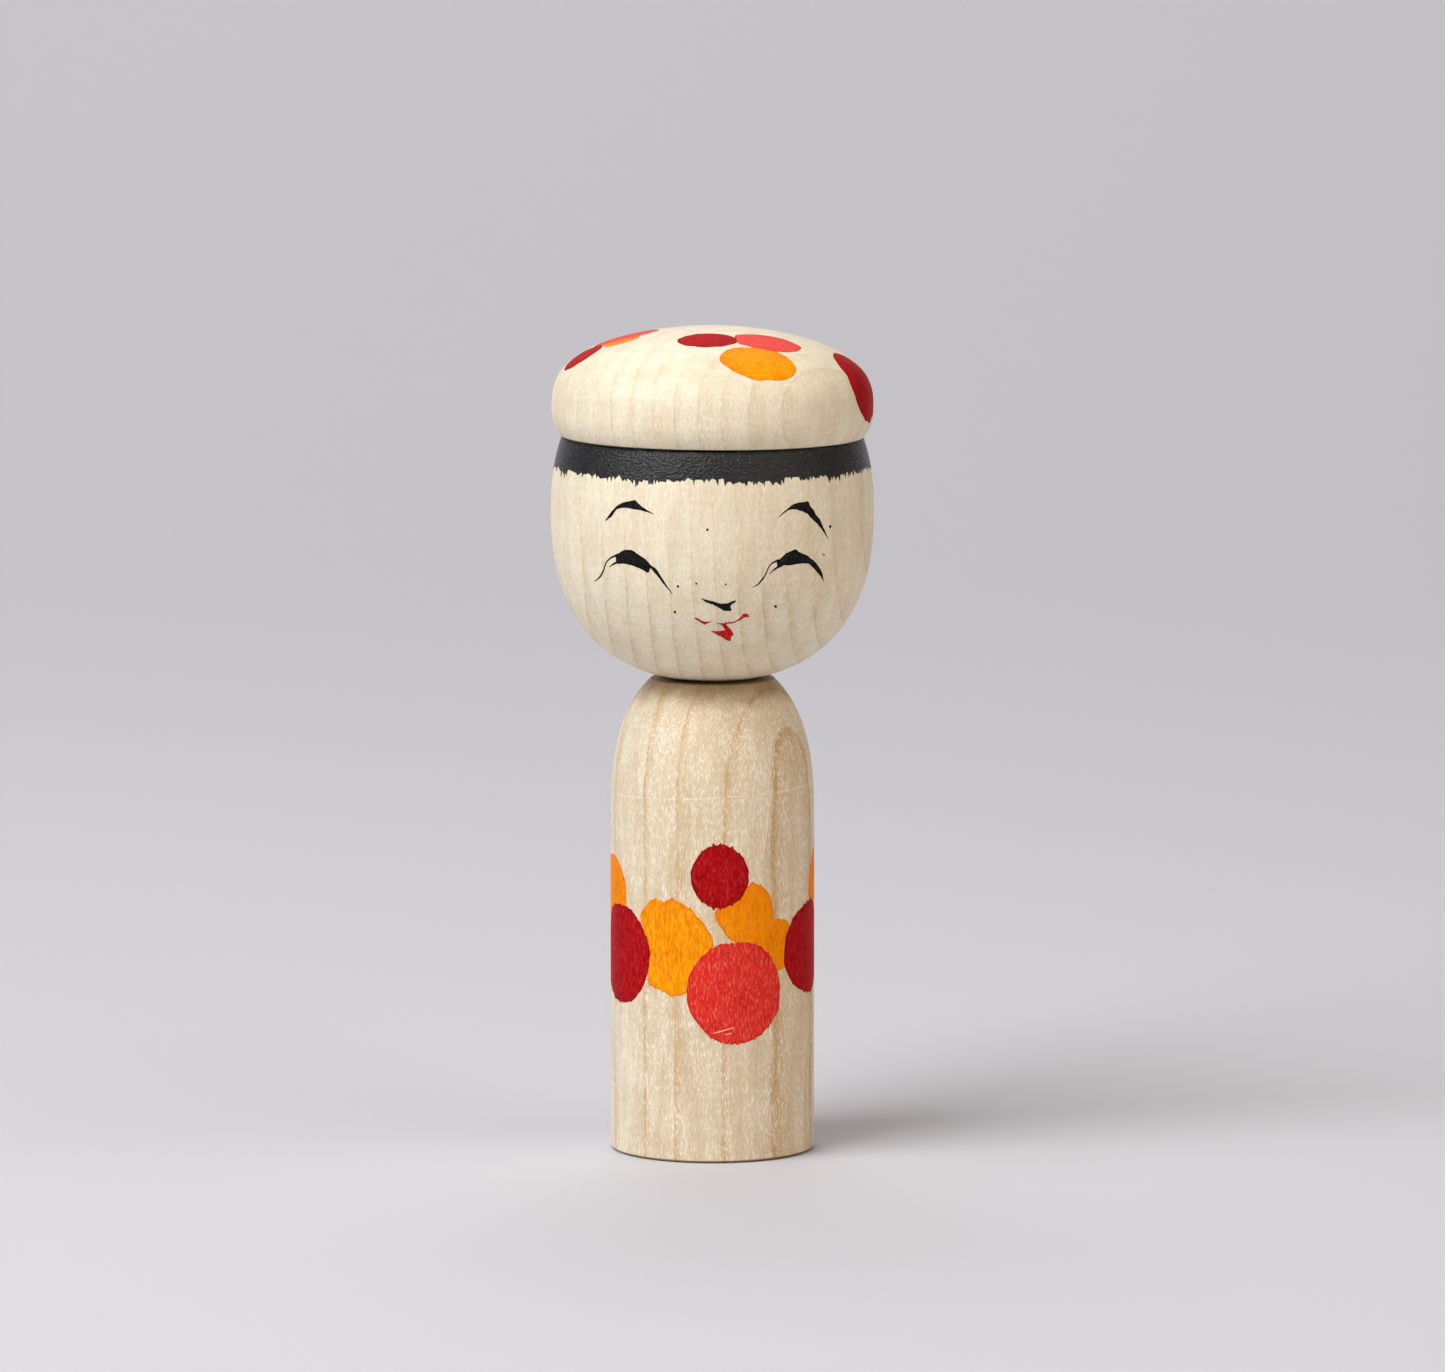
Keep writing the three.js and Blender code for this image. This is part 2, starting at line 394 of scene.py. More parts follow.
def body_wood():
    """Maple whose growth rings lie 4 to 7 mm apart, at depths of their own, the last of them
    arching over below the shoulder. Its front and right are tanned as painted shade on the side
    away from the light, the top next to the neck is darkened as painted shade under the head, the
    foot's edge is darkened as a painted contact shadow, and the tool has left one broken pale line
    that climbs to the right."""
    material, tree = new_material("body_maple", BODY_PALE)
    place = grain_place(tree, BODY_RING_TURN)
    depth = ring_depth(tree, place, 0.9, -0.004)
    height = node(tree, "ShaderNodeSeparateXYZ", None, {0: place}).outputs[2]
    arched = maths(
        tree, "MULTIPLY", fitted(tree, depth, 9.5, 11.2), fitted(tree, height, 46.0, 57.0))
    depth = maths(tree, "MULTIPLY_ADD", arched, 1.0, depth)
    share = fitted(tree, depth, BODY_RING_DEPTHS[0], BODY_RING_DEPTHS[-1])
    share.node.interpolation_type = "LINEAR"
    rings = node(tree, "ShaderNodeFloatCurve", None, {"Value": share})
    spread = BODY_RING_DEPTHS[-1] - BODY_RING_DEPTHS[0]
    curve = rings.mapping.curves[0]
    last = len(BODY_RING_DEPTHS) - 1
    for number, depth_of_ring in enumerate(BODY_RING_DEPTHS[1:-1], start=1):
        curve.points.new((depth_of_ring - BODY_RING_DEPTHS[0]) / spread, number / last)
    for point in curve.points:
        point.handle_type = "VECTOR"
    rings.mapping.update()
    number = maths(tree, "MULTIPLY", rings.outputs[0], float(last))
    # The tan that grows towards the front and right is painted shade, on the side away from the
    # light.
    look = node(tree, "ShaderNodeGroup", {"node_tree": MAPLE},
                {"Place": place, "Ring number": number, "Fade": 0.26,
                 "Line": fitted(tree, depth, 8.8, 10.5, 0.58, 0.9),
                 "Painted shade tan": fitted(tree, depth, -7.0, -1.0, 0.0, 0.28),
                 "Pale": BODY_PALE, "Tan": BODY_TAN, "Line colour": BODY_LINE}).outputs
    # The top next to the neck is darkened in patches under the head: painted shade.
    patchy = maths(tree, "MULTIPLY_ADD", speckle(tree, place, (0.5, 0.5, 0.5), 3.0), 2.4, height)
    neck_shade_mask = fitted(tree, patchy, BODY_HEIGHT - 2.2, BODY_HEIGHT + 1.2, 0.0, 0.8)
    colour = mixed(tree, neck_shade_mask, look["Colour"], PAINTED_NECK_SHADE, "MULTIPLY")
    # The foot's edge darkens towards the floor: a painted contact shadow.
    foot_shadow_mask = fitted(tree, height, 0.48, 0.16, 0.0, 0.95)
    colour = mixed(tree, foot_shadow_mask, colour, PAINTED_FOOT_SHADOW, "MULTIPLY")
    across = node(tree, "ShaderNodeSeparateXYZ", None, {0: grain_place(tree, 0.0)}).outputs[0]
    bent = maths(tree, "MULTIPLY_ADD", speckle(tree, place, (0.1, 0.1, 0.0), 1.0), 0.3, height)
    bent = maths(tree, "MULTIPLY_ADD", across, -SCRATCH_CLIMB, bent)
    off = maths(tree, "ABSOLUTE", maths(tree, "SUBTRACT", bent, SCRATCH_Z))
    broken = fitted(tree, speckle(tree, place, (0.5, 0.5, 0.0), 2.0, 9.0), 0.42, 0.58)
    scratch = maths(tree, "MULTIPLY", fitted(tree, off, 0.11, 0.03, 0.0, 0.5), broken)
    colour = mixed(tree, scratch, colour, SCRATCHED)
    return waxed(material, tree, colour, look["Roughness"], look["Height"], WOOD_RELIEF)


body_wide = BODY_RADIUS - PAINT_ROOM
body_side = BODY_HEIGHT - SHOULDER_HEIGHT
body_shoulder = rounded(body_wide, BODY_TOP_RADIUS, SHOULDER_HEIGHT, SHOULDER_ROUNDNESS, 110)
body_outside = joined(
    straight((body_wide, FOOT_CHAMFER), (body_wide, body_side), 0.5),
    body_shoulder + (0.0, body_side))
body_outline = joined(
    straight((2.0, 0.0), (body_wide - FOOT_CHAMFER, 0.0), 2.0),
    straight((body_wide - FOOT_CHAMFER, 0.0), (body_wide, FOOT_CHAMFER), 0.1),
    body_outside,
    straight((BODY_TOP_RADIUS, BODY_HEIGHT),
             (NECK_SOCKET_RADIUS + SOCKET_CHAMFER, BODY_HEIGHT), 1.0),
    bored(NECK_SOCKET_RADIUS, BODY_HEIGHT, -NECK_SOCKET_DEPTH))

doll_body = closed_mesh("turned_body", turned(body_outline, BODY_COLUMNS))
doll_body.data.materials.append(body_wood())
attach(doll_body, "body")
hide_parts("doll_body")


# ---- The dots round the body -------------------------------------------------------------------
# Round dabs of red, scarlet, amber and orange paint in a belt round the body, put on with a full
# brush. The paint soaks a little way along the grain, so each dab ends in short hairs. One dab
# has a scratch down to the wood, and a bristle of the brush has stuck to another.
FILM = 0.05
RIM_POINTS = 420
DAB_SHARES = (0.04, 0.14, 0.26, 0.38, 0.5, 0.61, 0.71, 0.8, 0.87, 0.925, 0.965, 0.99, 1.0)
DAB_UNDERSIDE = (1.0, 0.9, 0.75, 0.6, 0.45, 0.3, 0.15, 0.04)
LIFTS = {"amber": 0.010, "orange": 0.014, "coral": 0.019, "scarlet": 0.022, "bare": 0.026,
         "red": 0.028, "bristle": 0.030}
body_skin = skin_of(body_outside)


def on_body(across, up, lift):
    """A point on the body's side, by its distance round it from the front and its height."""
    return on_skin(body_skin, "height", up, across / BODY_RADIUS, lift)


def paint_group():
    """The look of brushed paint that has sunk into wood. The colour is a little deeper along
    the rim of the dab and in the fibres, and pale hairs of wood show through it."""
    tree, given, out = group(
        "brushed_paint",
        [("Place", "Vector", None), ("Rim", "Float", 1.0), ("Paint", "Color", None),
         ("Deep", "Color", None), ("Worn", "Color", None), ("Wear", "Float", 0.5),
         ("Grain", "Float", 0.5)],
        [("Colour", "Color"), ("Roughness", "Float"), ("Height", "Float")])
    place = given["Place"]
    fibre = speckle(tree, place, (4.6, 4.6, 0.9), 3.0, 3.1)
    strand = speckle(tree, place, (5.4, 5.4, 1.4), 3.0, 11.7)
    mottle = speckle(tree, place, (1.5, 1.5, 1.1), 3.0, 31.0)
    pools = speckle(tree, place, (0.28, 0.28, 0.2), 2.0, 31.0)
    edge = maths(tree, "MULTIPLY_ADD", maths(tree, "SUBTRACT", mottle, 0.5), 0.5, given["Rim"])
    rim = fitted(tree, edge, 0.42, 0.02)
    deep = maths(tree, "MULTIPLY", fitted(tree, fibre, 0.42, 0.66), given["Grain"])
    deep = maths(tree, "MULTIPLY_ADD", rim, 0.45, deep)
    deep = maths(tree, "MULTIPLY_ADD", fitted(tree, mottle, 0.42, 0.64), 0.3, deep)
    deep = maths(tree, "MULTIPLY_ADD", fitted(tree, pools, 0.45, 0.75), 0.3, deep)
    colour = mixed(tree, deep, given["Paint"], given["Deep"])
    worn = maths(tree, "MULTIPLY", fitted(tree, strand, 0.50, 0.68), given["Wear"])
    colour = mixed(tree, worn, colour, given["Worn"])
    rough = maths(tree, "ADD", 0.32, maths(tree, "MULTIPLY", fibre, 0.16))
    height = maths(tree, "ADD", fibre, maths(tree, "MULTIPLY", strand, 0.8))
    for label, value in (("Colour", colour), ("Roughness", rough), ("Height", height)):
        tree.links.new(value, out.inputs[label])
    return tree


BRUSHED = paint_group()


def paint(name, colour, deep, worn, wear, grain, specular=0.01, relief=1.2e-5):
    """One pot of paint."""
    material, tree = new_material(name, colour)
    rim = node(tree, "ShaderNodeAttribute", {"attribute_name": "rim_distance"}).outputs["Fac"]
    look = node(tree, "ShaderNodeGroup", {"node_tree": BRUSHED},
                {"Place": grain_place(tree, 0.0), "Rim": rim, "Paint": colour, "Deep": deep,
                 "Worn": worn, "Wear": wear, "Grain": grain}).outputs
    return waxed(material, tree, look["Colour"], look["Roughness"], look["Height"],
                 relief, specular)


PAINTS = {
    "amber": paint("amber_paint", (0.92, 0.345, 0.002, 1.0), (0.74, 0.155, 0.0005, 1.0),
                   (0.95, 0.46, 0.06, 1.0), 0.5, 0.6),
    "orange": paint("orange_paint", (0.90, 0.275, 0.002, 1.0), (0.72, 0.15, 0.001, 1.0),
                    (0.95, 0.40, 0.06, 1.0), 0.3, 0.4),
    "coral": paint("coral_paint", (0.76, 0.075, 0.062, 1.0), (0.62, 0.038, 0.034, 1.0),
                   (0.86, 0.20, 0.17, 1.0), 0.4, 0.4),
    "scarlet": paint("scarlet_paint", (0.74, 0.036, 0.024, 1.0), (0.54, 0.016, 0.011, 1.0),
                     (0.86, 0.22, 0.17, 1.0), 0.5, 0.5),
    "red": paint("deep_red_paint", (0.43, 0.006, 0.009, 1.0), (0.25, 0.002, 0.004, 1.0),
                 (0.62, 0.08, 0.07, 1.0), 0.3, 0.6),
    "bare": paint("bare_scratch", (0.93, 0.62, 0.52, 1.0), (0.85, 0.45, 0.36, 1.0),
                  (0.95, 0.78, 0.70, 1.0), 0.4, 0.3),
    "bristle": paint("stray_bristle", (0.03, 0.008, 0.008, 1.0), (0.015, 0.004, 0.004, 1.0),
                     (0.06, 0.02, 0.02, 1.0), 0.2, 0.3),
}


def soft_loop(points, blur):
    """A closed outline as its reach from a middle point at evenly spread angles: the reach of
    the given points, joined up and blurred over a few degrees."""
    turn, reach = np.array(points, float).T
    angles = np.linspace(0.0, 2.0 * np.pi, RIM_POINTS, endpoint=False)
    joined_up = np.interp(angles, turn, reach, period=2.0 * np.pi)
    window = np.exp(-0.5 * (np.minimum(angles, 2.0 * np.pi - angles) / np.radians(blur)) ** 2)
    smooth = np.fft.ifft(np.fft.fft(joined_up) * np.fft.fft(window / window.sum())).real
    return smooth


def oval(wide, tall, turn=0.0):
    """The reach of an ellipse from its middle at evenly spread angles."""
    angles = np.linspace(0.0, 2.0 * np.pi, RIM_POINTS, endpoint=False) - np.radians(turn)
    return wide * tall / np.hypot(tall * np.cos(angles), wide * np.sin(angles))


def lobed(middle, corners, blur=4.0):
    """The reach from a middle to a given outline."""
    apart = np.array(corners, float) - middle
    turn = np.arctan2(apart[:, 1], apart[:, 0]) % (2.0 * np.pi)
    return soft_loop(np.stack([turn, np.hypot(*apart.T)], axis=1), blur)


def dab(name, place, middle, reach, lift, seed, hairs=0.1, wobble=0.014):
    """One dab of paint: a thin closed film between its middle and a rim. The rim is the reach,
    with a slow wobble, pushed out along the grain by short hairs that are longest where the rim
    runs across the grain. The upper side stands `lift` off the wood."""
    draw = np.random.default_rng(seed)
    angles = np.linspace(0.0, 2.0 * np.pi, RIM_POINTS, endpoint=False)
    waves = np.arange(3, 15)
    sizes = draw.normal(0.0, 1.0, len(waves)) / waves**0.7
    phases = draw.uniform(0.0, 2.0 * np.pi, len(waves))
    sway = (sizes[:, None] * np.cos(waves[:, None] * angles + phases[:, None])).sum(0)
    bound = reach * (1.0 + wobble * sway)
    across, along = bound * np.cos(angles), bound * np.sin(angles)
    fine, broad = np.arange(-12.0, 12.0, 0.14), np.arange(-12.0, 12.0, 0.4)
    shoots = np.interp(across, fine, np.minimum(draw.exponential(hairs, len(fine)), 4.0 * hairs))
    locks = np.interp(across, broad, draw.uniform(-hairs, 1.6 * hairs, len(broad)))
    nicks = np.interp(along, broad, draw.uniform(-hairs, hairs, len(broad)))
    along = along + (shoots + locks) * np.sin(angles) * np.abs(np.sin(angles)) ** 0.3
    across = across + (0.5 * nicks + draw.normal(0.0, 0.2 * hairs, RIM_POINTS)) * np.cos(angles)
    top = np.array(DAB_SHARES)[::-1, None]
    under = np.array(DAB_UNDERSIDE)[::-1, None]
    shares = np.concatenate([under, top])
    lifts = np.concatenate([0.0 * under + lift - FILM, 0.0 * top + lift])
    points = place(middle[0] + shares * across, middle[1] + shares * along, lifts + 0.0 * across)
    crisp = np.zeros((len(shares) - 1, 1), bool)
    crisp[len(under) - 1] = True
    rim = (1.0 - shares) * np.hypot(across, along)
    return closed_mesh(name, points, crisp, marks={"rim_distance": rim})


ORANGE_LOBES = ((5.2, 36.1), (7.0, 35.2), (8.1, 33.2), (8.1, 31.2), (10.9, 30.8), (10.9, 27.2),
                (10.4, 25.0), (8.9, 24.5), (6.4, 26.5), (2.9, 28.7), (1.1, 30.3), (0.3, 31.7),
                (0.4, 32.8), (2.4, 33.3), (3.7, 34.0), (4.1, 35.1))
AMBER_LOBES = ((-7.7, 33.9), (-6.7, 33.6), (-4.0, 33.5), (-2.9, 32.8), (-1.7, 31.4),
               (-0.6, 30.1), (0.1, 28.8), (0.2, 27.7), (-0.4, 25.5), (-1.8, 23.4),
               (-3.3, 22.2), (-4.4, 21.6), (-5.9, 21.8), (-7.4, 22.3), (-9.0, 22.9),
               (-8.7, 24.6), (-8.5, 26.5), (-9.2, 28.9), (-9.9, 30.4), (-10.1, 31.7),
               (-9.0, 32.9))
BODY_DABS = (
    ("orange", (6.0, 31.0), lobed((6.0, 31.0), ORANGE_LOBES, 2.5)),
    ("amber", (-5.5, 28.0), lobed((-5.5, 28.0), AMBER_LOBES)),
    ("orange", (-17.7, 33.4), oval(4.7, 5.0)),
    ("orange", (21.8, 33.8), oval(5.7, 6.1)),
    ("scarlet", (3.1, 22.0), oval(6.4, 6.5)),
    ("red", (1.0, 37.0), oval(3.75, 3.95)),
    ("red", (-14.6, 26.1), oval(6.0, 6.3)),
    ("red", (15.8, 26.7), oval(5.6, 5.8)),
    ("amber", (28.0, 26.2), oval(5.6, 5.2)),
    ("scarlet", (-25.2, 24.2), oval(6.0, 6.2)),
    ("amber", (-29.6, 32.6), oval(4.9, 5.6, 20.0)),
    ("red", (-34.2, 25.0), oval(5.0, 5.3)),
    ("orange", (-41.4, 29.0), oval(5.4, 4.7)),
    ("red", (35.6, 33.6), oval(3.9, 4.0)),
    ("scarlet", (34.6, 23.6), oval(5.6, 5.9)),
    ("bare", (1.45, 17.2), oval(1.5, 0.06, 15.0)),
    ("bare", (2.1, 16.75), oval(0.5, 0.05, 12.0)),
    ("bristle", (-9.2, 28.7), oval(0.34, 0.08, -50.0)),
)
for number, (pot, middle, reach) in enumerate(BODY_DABS, start=1):
    hairs = 0.1 if reach.min() > 1.0 else 0.01
    dot = dab(f"body_dot_{number:02d}_{pot}", on_body, middle, reach,
              LIFTS[pot] + 0.0003 * number, 100 + number, hairs)
    dot.data.materials.append(PAINTS[pot])
    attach(dot, "body")


# ---- The neck dowel ----------------------------------------------------------------------------
# A peg of plain bare hardwood, glued into the head and turning in the body's socket. It is only
# seen when the doll is taken apart.
DOWEL_PALE = (0.60, 0.42, 0.24, 1.0)
DOWEL_TAN = (0.47, 0.30, 0.15, 1.0)
DOWEL_LINE = (0.33, 0.19, 0.08, 1.0)


def dowel_wood():
    """Bare hardwood with close growth rings."""
    material, tree = new_material("dowel_hardwood", DOWEL_PALE)
    place = grain_place(tree, 15.0)
    number = maths(tree, "DIVIDE", ring_depth(tree, place, 0.5, 0.01), 1.3)
    look = node(tree, "ShaderNodeGroup", {"node_tree": MAPLE},
                {"Place": place, "Ring number": number, "Line": 0.5, "Fade": 0.5, "Flecks": 0.6,
                 "Pale": DOWEL_PALE, "Tan": DOWEL_TAN, "Line colour": DOWEL_LINE}).outputs
    rough = maths(tree, "ADD", look["Roughness"], 0.25)
    return waxed(material, tree, look["Colour"], rough, look["Height"], WOOD_RELIEF, 0.3)


DOWEL_WOOD = dowel_wood()
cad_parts["neck_dowel"].material_slots[0].material = DOWEL_WOOD


# ---- The head ----------------------------------------------------------------------------------
# A squarish ball of paler, closer-grained maple, turned and waxed. It has a socket in its foot
# for the neck dowel and one in its top for the beret's dowel.
HEAD_COLUMNS = 320
HEAD_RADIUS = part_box("doll_head")[1].x / MM
HEAD_FOOT_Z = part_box("doll_head")[0].z / MM
HEAD_TOP_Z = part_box("doll_head")[1].z / MM
HEAD_BOWL_HEIGHT = 21.3
HEAD_FOOT_RADIUS = 6.0
HEAD_TOP_RADIUS = HEAD_RADIUS - 1.35
GLUED_NECK_RADIUS = 4.12
GLUED_NECK_DEPTH = 14.0
BERET_PEG_SOCKET_RADIUS = 3.12
BERET_PEG_SOCKET_DEPTH = 7.5
BOWL_ROUNDNESS = (2.4, 2.42)
CROWN_ROUNDNESS = (2.3, 2.0)
HEAD_RING_TURN = 6.0
HEAD_RING_WIDTH = 2.9
HEAD_PALE = (0.80, 0.725, 0.555, 1.0)
HEAD_TAN = (0.66, 0.55, 0.36, 1.0)
HEAD_LINE = (0.56, 0.385, 0.19, 1.0)


def close_wood(name, turn, shift, lean, faint, strong, strong_z, faint_z, heart=None):
    """Pale maple with growth rings 2.9 mm apart, whose lines are strong at one height and faint
    at another. With a heart, the rings are circles about that point, seen from above, instead
    of planes: the depth becomes the distance to it, counted inwards from the axis."""
    material, tree = new_material(name, HEAD_PALE)
    place = grain_place(tree, turn)
    depth = maths(tree, "ADD", ring_depth(tree, place, 0.9, lean), shift)
    if heart:
        x, y, z = node(tree, "ShaderNodeSeparateXYZ", None, {0: place}).outputs
        flat = node(tree, "ShaderNodeCombineXYZ", None, {0: x, 1: y}).outputs[0]
        away = node(tree, "ShaderNodeVectorMath", {"operation": "DISTANCE"},
                    {0: flat, 1: (*heart, 0.0)}).outputs["Value"]
        bend = maths(tree, "SUBTRACT", maths(tree, "SUBTRACT", np.hypot(*heart), away), x)
        depth = maths(tree, "ADD", depth, bend)
    number = maths(tree, "DIVIDE", depth, HEAD_RING_WIDTH)
    height = node(tree, "ShaderNodeSeparateXYZ", None, {0: place}).outputs[2]
    line = fitted(tree, height, strong_z, faint_z, strong, faint)
    look = node(tree, "ShaderNodeGroup", {"node_tree": MAPLE},
                {"Place": place, "Ring number": number, "Line": line, "Fade": 0.5,
                 "Flecks": 0.75, "Pale": HEAD_PALE, "Tan": HEAD_TAN,
                 "Line colour": HEAD_LINE}).outputs
    return waxed(material, tree, look["Colour"], look["Roughness"], look["Height"], WOOD_RELIEF)


head_wide = HEAD_RADIUS - PAINT_ROOM
head_widest_z = HEAD_FOOT_Z + HEAD_BOWL_HEIGHT
head_bowl = rounded(head_wide, HEAD_FOOT_RADIUS, HEAD_BOWL_HEIGHT, BOWL_ROUNDNESS, 130)
head_crown = rounded(head_wide, HEAD_TOP_RADIUS - PAINT_ROOM, HEAD_TOP_Z - head_widest_z,
                     CROWN_ROUNDNESS, 36)
head_outside = joined(
    (head_bowl * (1.0, -1.0) + (0.0, head_widest_z))[::-1],
    head_crown + (0.0, head_widest_z))
head_outline = joined(
    bored(GLUED_NECK_RADIUS, HEAD_FOOT_Z, GLUED_NECK_DEPTH)[::-1],
    straight((GLUED_NECK_RADIUS + SOCKET_CHAMFER, HEAD_FOOT_Z),
             (HEAD_FOOT_RADIUS, HEAD_FOOT_Z), 0.5),
    head_outside,
    straight((HEAD_TOP_RADIUS - PAINT_ROOM, HEAD_TOP_Z),
             (BERET_PEG_SOCKET_RADIUS + SOCKET_CHAMFER, HEAD_TOP_Z), 2.0),
    bored(BERET_PEG_SOCKET_RADIUS, HEAD_TOP_Z, -BERET_PEG_SOCKET_DEPTH))

doll_head = closed_mesh("turned_head", turned(head_outline, HEAD_COLUMNS))
doll_head.data.materials.append(close_wood(
    "head_maple", HEAD_RING_TURN, 1.1, 0.03, 0.14, 0.46, 66.0, 86.0))
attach(doll_head, "head")
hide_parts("doll_head")


# ---- The fringe --------------------------------------------------------------------------------
# A band of black paint right round the top of the head, brushed downwards, so that its lower
# edge is ragged. It has dried in small lumps, and is shinier than the dots.
FRINGE_COLUMNS = 2400
FRINGE_LIFT = 0.03
FRINGE_EDGE_Z = 88.0
FRINGE_UNDER_BERET = 2.5
head_skin = skin_of(head_outside)
capped_skin = skin_of(joined(head_outside, straight(
    head_outside[-1], (head_outside[-1][0] - FRINGE_UNDER_BERET, HEAD_TOP_Z), 0.5)))

BLACK = (0.009, 0.009, 0.010, 1.0)
SOOT = (0.004, 0.004, 0.005, 1.0)
WORN_BLACK = (0.07, 0.068, 0.07, 1.0)
FRINGE_RELIEF = 2e-4
DUST = (0.30, 0.29, 0.28, 1.0)


def fringe_paint():
    """Thick black paint that has dried in small lumps along the brush, so that its shine breaks
    up into glints, with a few specks of dust in it."""
    material, tree = new_material("fringe_black", BLACK)
    place = grain_place(tree, 0.0)
    lumps = speckle(tree, place, (2.4, 2.4, 3.2), 4.0, 3.3)
    hairs = speckle(tree, place, (4.6, 4.6, 1.2), 3.0, 11.7)
    dust = fitted(tree, speckle(tree, place, (3.9, 3.9, 4.3), 1.0, 47.0), 0.72, 0.78, 0.0, 0.6)
    colour = mixed(tree, fitted(tree, lumps, 0.45, 0.65), BLACK, SOOT)
    colour = mixed(tree, dust, colour, DUST)
    rough = maths(tree, "ADD", 0.08, maths(tree, "MULTIPLY", hairs, 0.28))
    height = maths(tree, "MULTIPLY_ADD", hairs, 0.5, lumps)
    return waxed(material, tree, colour, rough, height, FRINGE_RELIEF, 0.4)


fringe_black = fringe_paint()


def fringe_edge(columns, draw):
    """The height of the fringe's lower edge all the way round: slow swings, locks a couple of
    millimetres wide that end in a step, and narrow spikes."""
    azimuth = np.linspace(0.0, 2.0 * np.pi, columns, endpoint=False)
    waves = np.arange(2, 40)
    sizes = draw.normal(0.0, 0.05, len(waves)) / waves**0.25
    phases = draw.uniform(0.0, 2.0 * np.pi, len(waves))
    edge = (sizes[:, None] * np.cos(waves[:, None] * azimuth + phases[:, None])).sum(0)
    girth = 2.0 * np.pi * HEAD_RADIUS
    length = azimuth * HEAD_RADIUS
    for count, low, high, narrow, broad in ((150, 0.1, 0.5, 0.3, 0.9), (170, 0.2, 0.8, 0.1, 0.28)):
        places = draw.uniform(0.0, girth, count)
        depths = draw.uniform(low, high, count)
        widths = draw.uniform(narrow, broad, count)
        slants = draw.uniform(-0.6, 0.6, count)
        apart = (length[None, :] - places[:, None] + 0.5 * girth) % girth - 0.5 * girth
        side = np.where(apart > 0.0, 1.0 + slants[:, None], 1.0 - slants[:, None])
        spikes = depths[:, None] * np.maximum(0.0, 1.0 - np.abs(apart) / (widths[:, None] * side))
        edge = edge - spikes.max(0)
    edge = edge + draw.normal(0.0, 0.035, columns)
    return FRINGE_EDGE_Z + 0.45 + edge


def fringe():
    """A hoop of paint: at every azimuth, a loop that runs from inside the seam out over the top
    edge of the head and down to the ragged edge, and back inside the wood."""
    edge = fringe_edge(FRINGE_COLUMNS, np.random.default_rng(7))
    low = np.interp(edge, head_skin["height"], head_skin["arc"])[:, None]
    rim = head_skin["arc"][-1]
    azimuth = np.linspace(0.0, 2.0 * np.pi, FRINGE_COLUMNS, endpoint=False)[:, None]
    over = np.array([FRINGE_UNDER_BERET, 1.0, 0.15])[None, :] + rim + 0.0 * low
    down = np.array([0.0, 0.15, 0.3, 0.45, 0.6, 0.72, 0.82, 0.9, 0.96, 1.0])[None, :]
    back = np.array([1.0, 0.75, 0.5, 0.25, 0.0])[None, :]
    outside = np.concatenate([over, rim + down * (low - rim)], axis=1)
    inside = np.concatenate([rim + back * (low - rim), over[:, 1::-1]], axis=1)
    arcs = np.concatenate([outside, inside], axis=1)
    lifts = np.concatenate(
        [0.0 * outside + FRINGE_LIFT, 0.0 * inside + FRINGE_LIFT - FILM], axis=1)
    points = on_skin(capped_skin, "arc", arcs, azimuth + 0.0 * arcs, lifts)
    crisp = np.zeros((1, arcs.shape[1]), bool)
    crisp[0, [outside.shape[1] - 1, arcs.shape[1] - 1]] = True
    return closed_mesh("painted_fringe", points, crisp, hoop=True,
                       marks={"rim_distance": arcs - low})


fringe_band = fringe()
fringe_band.data.materials.append(fringe_black)
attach(fringe_band, "head")


# ---- The face ----------------------------------------------------------------------------------
# Brows, smiling eyes, nose and mouth, each a few strokes of a fine brush: ink for the black
# ones, red paint for the mouth. A stroke is given by its upper and lower edge as seen from the
# front, in millimetres across and up.
INK_LIFT = 0.02
STROKE_ROWS = 150
STROKE_SHARES = (0.0, 0.05, 0.15, 0.3, 0.5, 0.7, 0.85, 0.95, 1.0)
face_ink = paint("face_ink", BLACK, SOOT, WORN_BLACK, 0.3, 0.5, 0.05, 2e-5)
lip_red = paint("lip_red", (0.58, 0.012, 0.016, 1.0), (0.42, 0.006, 0.010, 1.0),
                (0.75, 0.16, 0.13, 1.0), 0.35, 0.5)


def on_face(across, up, lift):
    """A point on the front of the head, by where it is seen from the front."""
    radius = np.interp(up, head_skin["height"], head_skin["radius"])
    return on_skin(head_skin, "height", up, np.arcsin(np.clip(across / radius, -1.0, 1.0)), lift)


def smooth_line(points, count):
    """A curve through given points at evenly spread shares of their length: a
    Catmull-Rom spline, whose slope at each point is that of its two neighbours."""
    points = np.array(points, float)
    length = np.concatenate([[0.0], np.cumsum(np.linalg.norm(np.diff(points, axis=0), axis=1))])
    slope = np.gradient(points, length, axis=0)
    want = np.linspace(0.0, length[-1], count)
    at = np.clip(np.searchsorted(length, want, side="right") - 1, 0, len(points) - 2)
    width = (length[at + 1] - length[at])[:, None]
    t = (want - length[at])[:, None] / width
    return ((2 * t**3 - 3 * t**2 + 1) * points[at] + (t**3 - 2 * t**2 + t) * width * slope[at]
            + (3 * t**2 - 2 * t**3) * points[at + 1] + (t**3 - t**2) * width * slope[at + 1])


